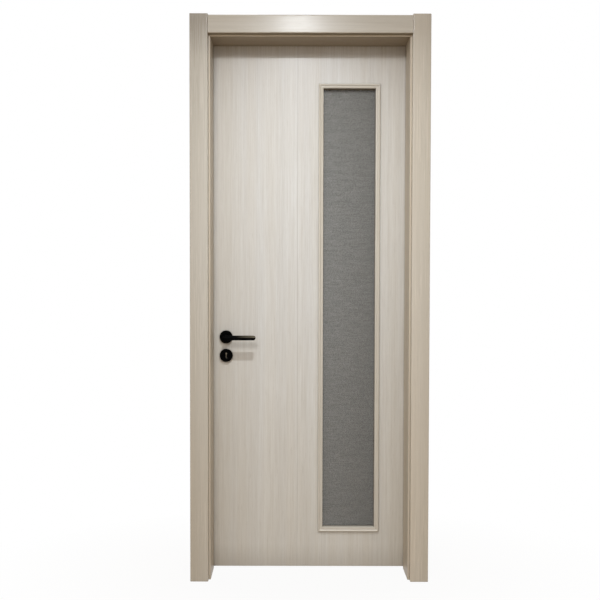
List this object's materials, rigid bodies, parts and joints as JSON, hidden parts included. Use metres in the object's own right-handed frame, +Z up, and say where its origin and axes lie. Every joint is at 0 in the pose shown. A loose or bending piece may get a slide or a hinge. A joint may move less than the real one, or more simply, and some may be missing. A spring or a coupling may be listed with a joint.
{
  "type": "wood-plastic composite door with frame",
  "caption": "Interior door of wood-plastic composite in a rebated frame with casings, a tall narrow glass panel, and a lever handle.",
  "frame": {"origin": "on the wall-side face of the hinge jamb, at floor level, at half the jamb's depth", "axes": "+X out of the hinge jamb into its wall, +Y through the wall towards the side the leaf opens to, +Z up"},
  "size_m": [0.945, 0.224, 2.1605],
  "materials": {
    "frame_film": "wood-grain film",
    "casing_film": "wood-grain film",
    "leaf_film": "wood-grain film",
    "bead_film": "wood-grain film",
    "seal_rubber": "soft matt",
    "clear_glass": "polished",
    "mesh_fabric": "linen weave",
    "brushed_steel": "satin",
    "zinc_case": "zinc plated",
    "bolt_metal": "satin",
    "black_hardware": "matt powder coat",
    "spindle_steel": "plain"
  },
  "bodies": {
    "frame": {"jamb_hinge_side": "frame_film", "jamb_lock_side": "frame_film", "head_jamb": "frame_film", "seal_hinge_side": "seal_rubber", "seal_lock_side": "seal_rubber", "seal_head": "seal_rubber", "front_casing_hinge_side": "casing_film", "front_casing_lock_side": "casing_film", "front_casing_head": "casing_film", "back_casing_hinge_side": "casing_film", "back_casing_lock_side": "casing_film", "back_casing_head": "casing_film", "strike_plate": "brushed_steel", "hinge_upper_frame_plate": "brushed_steel", "hinge_upper_pin": "brushed_steel", "hinge_middle_frame_plate": "brushed_steel", "hinge_middle_pin": "brushed_steel", "hinge_lower_frame_plate": "brushed_steel", "hinge_lower_pin": "brushed_steel"},
    "leaf": {"door_leaf": "leaf_film", "hinge_upper_leaf_plate": "brushed_steel", "hinge_middle_leaf_plate": "brushed_steel", "hinge_lower_leaf_plate": "brushed_steel", "front_bead_lock_side": "bead_film", "front_bead_hinge_side": "bead_film", "front_bead_top": "bead_film", "front_bead_bottom": "bead_film", "back_bead_lock_side": "bead_film", "back_bead_hinge_side": "bead_film", "back_bead_top": "bead_film", "back_bead_bottom": "bead_film", "glass_front_sheet": "clear_glass", "glass_back_sheet": "clear_glass", "glass_mesh_interlayer": "mesh_fabric", "lock_case": "zinc_case", "lock_faceplate": "brushed_steel", "latch_bolt": "bolt_metal", "dead_bolt": "bolt_metal", "front_rose": "black_hardware", "back_rose": "black_hardware", "front_key_escutcheon": "black_hardware", "back_key_escutcheon": "black_hardware"},
    "handle": {"front_lever": "black_hardware", "back_lever": "black_hardware", "spindle": "spindle_steel"}
  },
  "joints": [
    {"name": "leaf_swing", "type": "hinge", "parent": "frame", "child": "leaf", "pos_m": [-0.0275, 0.0835, 0], "axis": [0, 0, -1], "range_deg": [0, 105]},
    {"name": "handle_turn", "type": "hinge", "parent": "leaf", "child": "handle", "pos_m": [-0.74244, 0.055, 0.92], "axis": [0, 1, 0], "range_deg": [0, 40], "stiffness_Nm_per_rad": 1.2, "springref_deg": -34.38}
  ]
}
